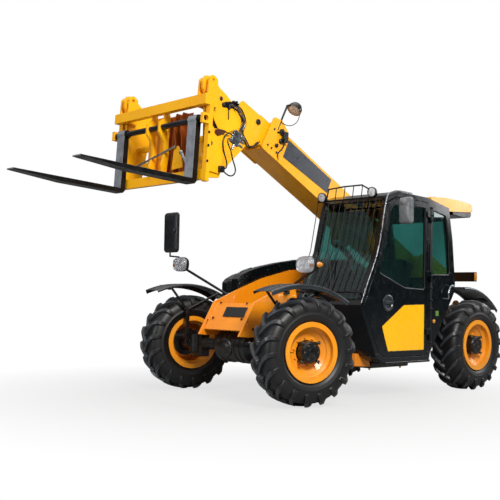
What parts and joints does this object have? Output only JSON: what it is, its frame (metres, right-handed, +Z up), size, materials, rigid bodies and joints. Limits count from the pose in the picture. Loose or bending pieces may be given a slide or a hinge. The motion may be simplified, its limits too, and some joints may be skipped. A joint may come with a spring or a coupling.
{
  "type": "compact telehandler",
  "caption": "Compact telescopic handler with a side cab, all-wheel steering, a two-section boom and a pallet-fork carriage.",
  "frame": {"origin": "on the ground below the middle of the overall box, as it stands on its wheels", "axes": "+X forward towards the forks, +Y to the machine's left (the cab side), +Z up"},
  "size_m": [5.6364, 2.905, 3.1085],
  "materials": {
    "machine_paint": "gloss",
    "wheel_paint": "semi-gloss",
    "black_paint": "semi-gloss",
    "guard_plastic": "satin",
    "tyre_rubber": "matte",
    "steel": "worn",
    "chrome_rod": "polished",
    "cab_trim": "satin",
    "tinted_glass": "clear",
    "seat_cloth": "matte",
    "lamp_chrome": "polished"
  },
  "bodies": {
    "chassis": {"cab_floor": "black_paint", "cab_frame": "black_paint", "cab_right_wall": "cab_trim", "cab_roof": "machine_paint", "cab_windows": "tinted_glass", "chassis_cross_members": "machine_paint", "chassis_pins": "black_paint", "chassis_plates": "machine_paint", "dashboard": "cab_trim", "engine_bay": "cab_trim", "engine_block": "black_paint", "front_axle": "black_paint", "fuel_tank": "black_paint", "headlamps": "lamp_chrome", "lamp_arms": "black_paint", "mirrors": "cab_trim", "rear_axle": "black_paint", "rear_lamp_bars": "black_paint", "roof_cowl": "machine_paint", "screen_guard": "black_paint", "seat_base": "black_paint", "seat_cushions": "seat_cloth", "steering_wheel": "cab_trim", "transmission": "black_paint"},
    "front_left_swivel": {"front_left_knuckle": "black_paint", "front_left_mudguard": "guard_plastic"},
    "front_left_wheel": {"front_left_rim": "wheel_paint", "front_left_hub": "black_paint", "front_left_tyre": "tyre_rubber"},
    "front_right_swivel": {"front_right_knuckle": "black_paint", "front_right_mudguard": "guard_plastic"},
    "front_right_wheel": {"front_right_rim": "wheel_paint", "front_right_hub": "black_paint", "front_right_tyre": "tyre_rubber"},
    "rear_left_swivel": {"rear_left_knuckle": "black_paint", "rear_left_mudguard": "guard_plastic"},
    "rear_left_wheel": {"rear_left_rim": "wheel_paint", "rear_left_hub": "black_paint", "rear_left_tyre": "tyre_rubber"},
    "rear_right_swivel": {"rear_right_knuckle": "black_paint", "rear_right_mudguard": "guard_plastic"},
    "rear_right_wheel": {"rear_right_rim": "wheel_paint", "rear_right_hub": "black_paint", "rear_right_tyre": "tyre_rubber"},
    "door": {"cab_door": "black_paint", "door_glass": "tinted_glass", "door_panel": "machine_paint"},
    "bonnet": {"engine_bonnet": "cab_trim"},
    "boom": {"outer_boom": "machine_paint"},
    "boom_inner": {"inner_boom": "machine_paint"},
    "carriage": {"hitch_carriage": "machine_paint", "hitch_side_plates": "machine_paint", "fork_frame": "machine_paint", "fork_shaft": "steel"},
    "fork_left": {"left_fork": "black_paint"},
    "fork_right": {"right_fork": "black_paint"},
    "lift_barrel": {"lift_cylinder": "black_paint"},
    "lift_piston": {"lift_rod": "chrome_rod"},
    "tilt_barrel": {"tilt_cylinder": "black_paint"},
    "tilt_piston": {"tilt_rod": "chrome_rod"}
  },
  "joints": [
    {"name": "front_left_steer", "type": "hinge", "parent": "chassis", "child": "front_left_swivel", "pos_m": [0.50175, 0.71, 0.515], "axis": [0, 0, 1], "range_deg": [-18, 46]},
    {"name": "front_left_spin", "type": "hinge", "parent": "front_left_swivel", "child": "front_left_wheel", "pos_m": [0.56223, 0.95257, 0.515], "axis": [0.2419, 0.9703, 0], "continuous": true},
    {"name": "front_right_steer", "type": "hinge", "parent": "chassis", "child": "front_right_swivel", "pos_m": [0.50175, -0.71, 0.515], "axis": [0, 0, 1], "range_deg": [-18, 46]},
    {"name": "front_right_spin", "type": "hinge", "parent": "front_right_swivel", "child": "front_right_wheel", "pos_m": [0.44127, -0.95257, 0.515], "axis": [0.2419, 0.9703, 0], "continuous": true},
    {"name": "rear_left_steer", "type": "hinge", "parent": "chassis", "child": "rear_left_swivel", "pos_m": [-2.14825, 0.71, 0.515], "axis": [0, 0, 1], "range_deg": [-28, 28]},
    {"name": "rear_left_spin", "type": "hinge", "parent": "rear_left_swivel", "child": "rear_left_wheel", "pos_m": [-2.14825, 0.96, 0.515], "axis": [0, 1, 0], "continuous": true},
    {"name": "rear_right_steer", "type": "hinge", "parent": "chassis", "child": "rear_right_swivel", "pos_m": [-2.14825, -0.71, 0.515], "axis": [0, 0, 1], "range_deg": [-28, 28]},
    {"name": "rear_right_spin", "type": "hinge", "parent": "rear_right_swivel", "child": "rear_right_wheel", "pos_m": [-2.14825, -0.96, 0.515], "axis": [0, 1, 0], "continuous": true},
    {"name": "cab_door_swing", "type": "hinge", "parent": "chassis", "child": "door", "pos_m": [-1.23625, 1.104, 1.17], "axis": [0, 0, 1], "range_deg": [0, 100]},
    {"name": "bonnet_lift", "type": "hinge", "parent": "chassis", "child": "bonnet", "pos_m": [-1.61325, -0.63, 1.46], "axis": [0, -1, 0], "range_deg": [0, 60]},
    {"name": "boom_lift", "type": "hinge", "parent": "chassis", "child": "boom", "pos_m": [-2.24825, 0, 1.47], "axis": [0, -1, 0], "range_deg": [-29, 40]},
    {"name": "boom_extend", "type": "slide", "parent": "boom", "child": "boom_inner", "axis": [0.8846, 0, 0.4664], "range_m": [0, 1.5]},
    {"name": "fork_tilt", "type": "hinge", "parent": "boom_inner", "child": "carriage", "pos_m": [0.93465, 0, 2.33081], "axis": [0, 1, 0], "range_deg": [-35, 85]},
    {"name": "left_fork_slide", "type": "slide", "parent": "carriage", "child": "fork_left", "axis": [0, -1, 0], "range_m": [0, 0.35]},
    {"name": "right_fork_slide", "type": "slide", "parent": "carriage", "child": "fork_right", "axis": [0, 1, 0], "range_m": [0, 0.35]},
    {"name": "lift_cylinder_swing", "type": "hinge", "parent": "chassis", "child": "lift_barrel", "pos_m": [-2.09825, 0, 0.76], "axis": [0, -1, 0], "range_deg": [-21.77, 30.03]},
    {"name": "lift_rod_stroke", "type": "slide", "parent": "lift_barrel", "child": "lift_piston", "axis": [0.7767, 0, 0.6299], "range_m": [-0.3073, 0.4238]},
    {"name": "tilt_cylinder_swing", "type": "hinge", "parent": "boom_inner", "child": "tilt_barrel", "pos_m": [0.45234, 0, 2.81247], "axis": [0, -1, 0], "range_deg": [-4.52, 1.86]},
    {"name": "tilt_rod_stroke", "type": "slide", "parent": "tilt_barrel", "child": "tilt_piston", "axis": [0.8807, 0, -0.4737], "range_m": [-0.1021, 0.2479]}
  ],
  "couplings": [
    {"joint": "front_right_steer", "follows": "front_left_steer", "ratio": 1},
    {"joint": "rear_right_steer", "follows": "rear_left_steer", "ratio": 1},
    {"joint": "lift_cylinder_swing", "follows": "boom_lift", "ratio": 0.7507},
    {"joint": "lift_rod_stroke", "follows": "boom_lift", "m_per_rad": 0.607},
    {"joint": "tilt_cylinder_swing", "follows": "fork_tilt", "ratio": -0.0532},
    {"joint": "tilt_rod_stroke", "follows": "fork_tilt", "m_per_rad": 0.1671}
  ]
}
